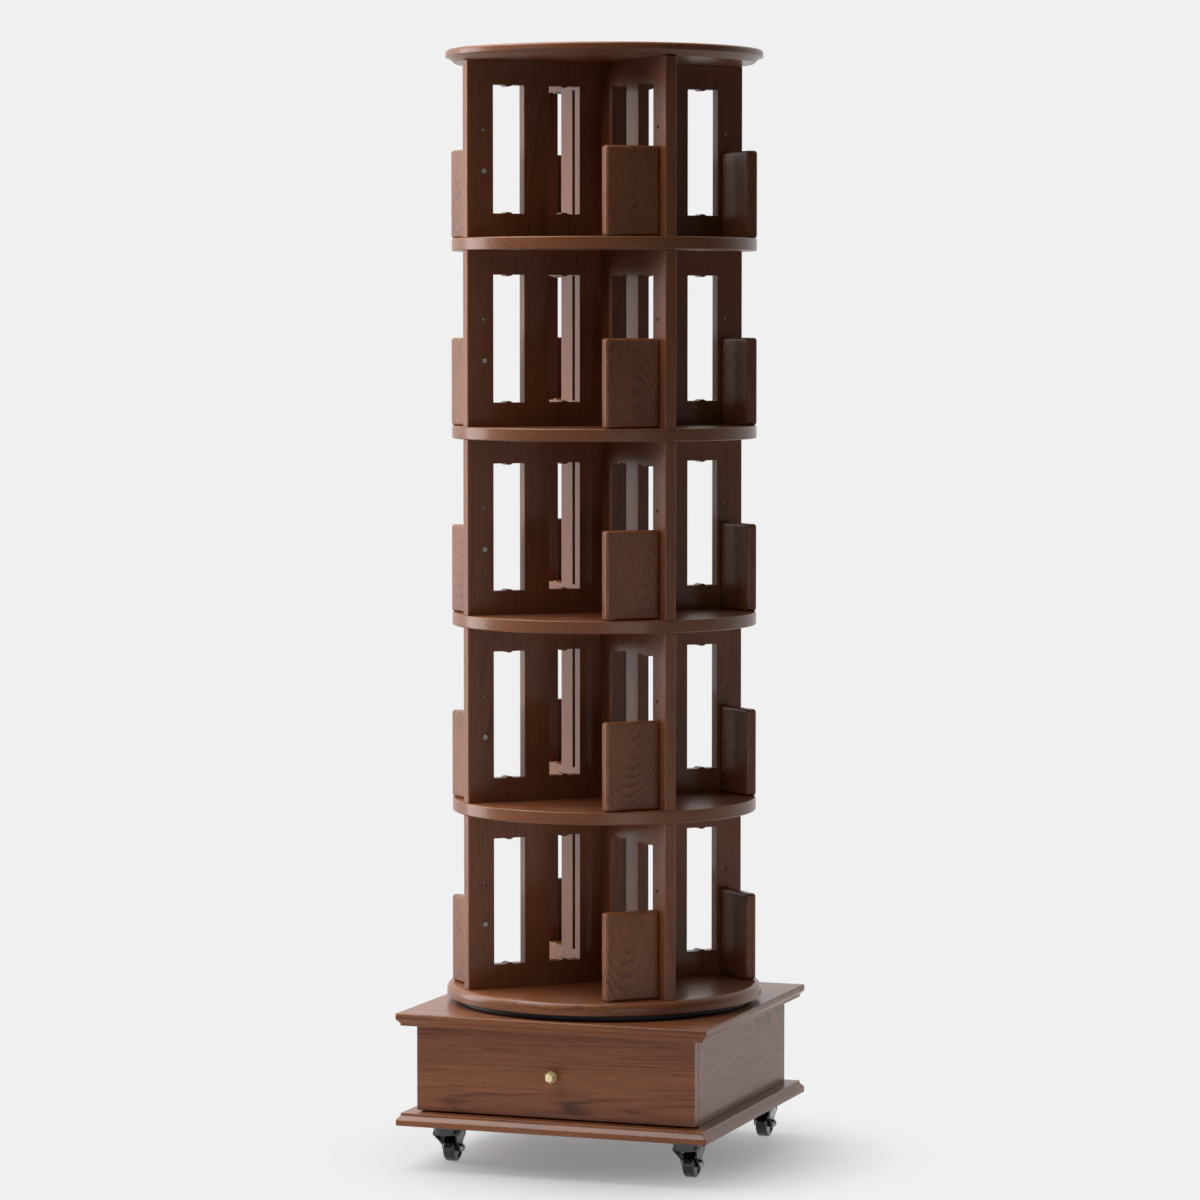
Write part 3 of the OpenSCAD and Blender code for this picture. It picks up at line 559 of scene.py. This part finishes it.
def fork_leg(bm, side, swivel, hub, pin):
    """One leg of a pressed fork, from the round crown in to the wheel's hub.

    side is 1 on the right and -1 on the left. The leg's rows run down from the crown, and
    each row goes from the leg's front edge to its back edge.
    """
    top = 51 * MM
    # The leg leaves the crown's round within the first height, and stands in at the second
    flat_by, drawn_in_at = 11 * MM, 24 * MM
    # Half the width between the legs' outsides at the crown and below
    crown, narrow = 20.6 * MM, 12.6 * MM
    # Where the leg lies round the crown, in degrees from its own side
    front_turn, back_turn = -48, 70
    # Rounds about the hub and about the pedal's pin, and the narrowest half of a row
    boss, eye, least = 7 * MM, 5 * MM, 0.3 * MM
    nose = Vector((0, -17.5 * MM, 46 * MM))
    trail, eye_y = hub.y - swivel.y, pin.y - swivel.y
    steps, columns = 12, 14
    rows = []
    for k in range(steps + 1):
        z = mixed(top, hub.z, k / steps)
        front = mixed(nose.y, trail - boss, max(0.0, (nose.z - z) / (nose.z - hub.z)))
        back = eye_y + math.sqrt(max(0.0, eye * eye - max(0.0, z - pin.z) ** 2))
        rows.append((z, front, back))
    for angle in quarter(QUARTER_STEPS)[1:]:
        half = max(boss * math.cos(angle), least)
        rows.append((hub.z - boss * math.sin(angle), trail - half, trail + half))
    grid = []
    for z, front, back in rows:
        flat = smooth_step((top - z) / flat_by)
        out = mixed(crown, narrow, smooth_step((top - z) / (top - drawn_in_at)))
        row = []
        for c in range(columns + 1):
            share = c / columns
            turn = math.radians(mixed(front_turn, back_turn, share))
            x = mixed(crown * math.cos(turn), out, flat)
            y = mixed(crown * math.sin(turn), mixed(front, back, share), flat)
            row.append(bm.verts.new((swivel.x + side * x, swivel.y + y, z)))
        grid.append(row)
    faces = []
    for row, below in zip(grid, grid[1:]):
        for c in range(columns):
            faces.append(bm.faces.new((row[c], row[c + 1], below[c + 1], below[c])[::side]))
    bmesh.ops.recalc_face_normals(bm, faces=faces)
    outwards = sum((face.normal.x for face in faces)) * side > 0
    bmesh.ops.solidify(bm, geom=faces, thickness=SHEET if outwards else -SHEET)


def fork(corner):
    """A caster's pressed fork: a round crown, two legs that draw in, and the pedal's pin."""
    node = "caster_fork_" + corner
    swivel, hub, pin = (Vector(JOINT[joint + corner]["pos_m"])
                        for joint in ("swivel_", "roll_", "brake_"))
    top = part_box(node)[1].z
    hole, crown, rim, low = 4.1 * MM, 21 * MM, 2.5 * MM, 49.5 * MM
    bm = bmesh.new()
    profile = ([(hole, top)] + arc((crown - rim, top - rim), rim, 90, 0)
               + [(crown, low), (crown - SHEET, low), (crown - SHEET, top - SHEET),
                  (hole, top - SHEET)])
    # The crown's rim hangs lower in front of the wheel, as an apron between the legs. It is
    # at its full depth from this far in front of the swivel on
    apron, apron_at = 7 * MM, 14 * MM
    for vert in lathe(bm, profile, CROWN_STEPS, Vector((swivel.x, swivel.y, 0))):
        if vert.co.z < low + SHEET:
            vert.co.z -= apron * smooth_step((swivel.y - vert.co.y) / apron_at)
    for side in (-1, 1):
        fork_leg(bm, side, swivel, hub, pin)
    # The pin's shank, and its two domed heads
    pin_r, head_r, end, head = 1.8 * MM, 3.2 * MM, 17.2 * MM, 1.3 * MM
    half = [(head_r * math.cos(a), end + head * math.sin(a)) for a in quarter(QUARTER_STEPS)]
    profile = ([(0, -end - head)] + [(r, -h) for r, h in half[-2::-1]]
               + [(pin_r, -end), (pin_r, end)] + half[:-1] + [(0, end + head)])
    lathe(bm, profile, PIN_STEPS, Vector((swivel.x, pin.y, pin.z)), RIGHT, UP)
    bmesh.ops.recalc_face_normals(bm, faces=bm.faces)
    bevelled(bm, 0.35 * MM, limit=50)
    stand_in(node, bm)


def make_metalwork():
    for corner in CORNERS:
        fork(corner)
        dressed("caster_wheel_" + corner, 0.4 * MM)
        dressed("caster_axle_" + corner, 0.3 * MM)
        dressed("brake_pedal_" + corner, 0.5 * MM)
    for node in ("caster_plates", "turntable_upper_ring", "turntable_lower_ring", "stop_screws",
                 "base_fasteners", "turntable_screws", "drawer_screws"):
        dressed(node, 0.25 * MM)
    for node in ("runner_balls", "turntable_balls", "panel_dowels"):
        coloured(node)


# Studio

# The backdrop's flat pale level, which the floor also has further out
BACKDROP = 0.871
# The room's light comes from the backdrop's side, and the room behind the camera is dim
BRIGHT_SIDE = (-0.5, 0.87, 0)
WORLD_BRIGHT = 0.92
WORLD_DIM = 0.03
# Where between them the light changes, as cosines of the angle from the bright side
WORLD_CHANGE = (-0.3, 0.5)
# Share of the flat backdrop in what gloss reflects of the room
GLOSSY_SHARE = 0.1
FLOOR_RADIUS = 40
# Distances from the column's axis over which the floor stops throwing light back
FADE = (0.4, 1.7)
# The camera sees the floor through a veil of painted light: an even glow laid over the lit
# floor, so that the bookcase's cast shadow stays light. The veil covers this share of the floor
# and has this share of the backdrop's level. Both rise to the whole over these distances from
# the axis, so the glow is dimmer near the bookcase, which is painted shade round its foot
VEIL = 0.42
VEIL_RISE = (0.15, 0.5)
VEIL_LEVEL = 0.6
LEVEL_RISE = (0.05, 0.45)
# How pale the floor is for the light that it throws back, and how pale it is under the veil
FLOOR_PALE = 0.85
FLOOR_SEEN = 0.5
# Lamps: direction from the bookcase's middle, distance, width, height and radiance
MIDDLE = Vector((0, 0, 0.8))
LAMPS = {
    "left_softbox": ((-1, 0, 0.15), 2.5, 1.2, 2.4, 4.6),
    "overhead": ((-0.33, -0.04, 0.92), 3.4, 3.0, 3.0, 7.3),
    "front_fill": ((-0.5, -0.6, 0.6), 3.5, 2.5, 2.5, 2.35),
    "low_fill": ((0.6, -0.8, -0.1), 3.0, 1.5, 0.8, 1.5),
}


def make_world():
    """A flat pale backdrop for the camera, and light that is stronger from the backdrop's side."""
    world = bpy.data.worlds.new("world")
    bpy.context.scene.world = world
    world.use_nodes = True
    world.node_tree.nodes.clear()
    s = Nodes(world.node_tree)
    direction = s.add("TexCoord").outputs["Generated"]
    towards = s.vector_math("DOT_PRODUCT", direction, BRIGHT_SIDE, "Value")
    level = s.between(towards, *WORLD_CHANGE, WORLD_DIM, WORLD_BRIGHT)
    lit = s.add("Background", {0: grey(1), 1: level}).outputs[0]
    seen = s.add("Background", {0: grey(BACKDROP), 1: 1.0}).outputs[0]
    rays = s.add("LightPath").outputs
    straight = s.math("MAXIMUM", rays["Is Camera Ray"], rays["Is Transmission Ray"])
    straight = s.math("MAXIMUM", straight, s.math("MULTIPLY", rays["Is Glossy Ray"], GLOSSY_SHARE))
    both = s.add("MixShader", {0: straight, 1: lit, 2: seen}).outputs[0]
    s.add("OutputWorld", {0: both})


def make_floor():
    """A pale floor with the bookcase's cast soft shadow, lightened by a glow of painted light that is dimmer near
    the bookcase as painted shade, and which fades into the backdrop further out.
    """
    bm = bmesh.new()
    bmesh.ops.create_circle(bm, cap_ends=True, segments=96, radius=FLOOR_RADIUS)
    mesh = bpy.data.meshes.new("floor")
    bm.to_mesh(mesh)
    bm.free()
    floor = bpy.data.objects.new("floor", mesh)
    bpy.context.scene.collection.objects.link(floor)
    s = Shader("floor")
    s.set(Roughness=0.6, Specular_IOR_Level=0.2)
    away = s.vector_math("LENGTH", s.add("TexCoord").outputs["Object"], output="Value")
    far = s.between(away, *FADE)
    rays = s.add("LightPath").outputs
    seen = s.math("MAXIMUM", rays["Is Camera Ray"], rays["Is Glossy Ray"])
    seen = s.math("MAXIMUM", seen, rays["Is Transmission Ray"])
    s.set(Base_Color=s.mix(seen, grey(FLOOR_PALE), grey(FLOOR_SEEN)))
    # Painted light over the floor near the bookcase. Its level is lower close to the axis, which is painted shade,
    # and further out it becomes the plain backdrop
    painted_light_veil = s.math("MULTIPLY", seen, s.between(away, *VEIL_RISE, VEIL, 1.0))
    level = s.math("MULTIPLY", seen, s.between(away, *LEVEL_RISE, VEIL_LEVEL, 1.0))
    backdrop_and_painted_glow = s.add("Emission", {0: grey(BACKDROP), 1: level}).outputs[0]
    share = s.math("MAXIMUM", far, painted_light_veil)
    both = s.add("MixShader", {0: share, 1: s.surface.outputs[0], 2: backdrop_and_painted_glow}).outputs[0]
    s.tree.links.new(both, s.tree.nodes["Material Output"].inputs[0])
    mesh.materials.append(s.material)


def make_lamp(name, direction, distance, width, height, radiance):
    """A softbox that looks at the bookcase's middle, and that the camera doesn't see."""
    data = bpy.data.lights.new(name, "AREA")
    data.shape = "RECTANGLE"
    data.size, data.size_y = width, height
    data.energy = radiance * math.pi * width * height
    lamp = bpy.data.objects.new(name, data)
    bpy.context.scene.collection.objects.link(lamp)
    lamp.location = MIDDLE + Vector(direction).normalized() * distance
    lamp.rotation_euler = (MIDDLE - lamp.location).to_track_quat("-Z", "Y").to_euler()
    lamp.visible_camera = False


def make_studio():
    make_world()
    make_floor()
    for name, settings in LAMPS.items():
        make_lamp(name, *settings)
    bpy.context.scene.view_settings.view_transform = "Standard"


make_camera()
make_column()
make_base()
make_metalwork()
make_studio()
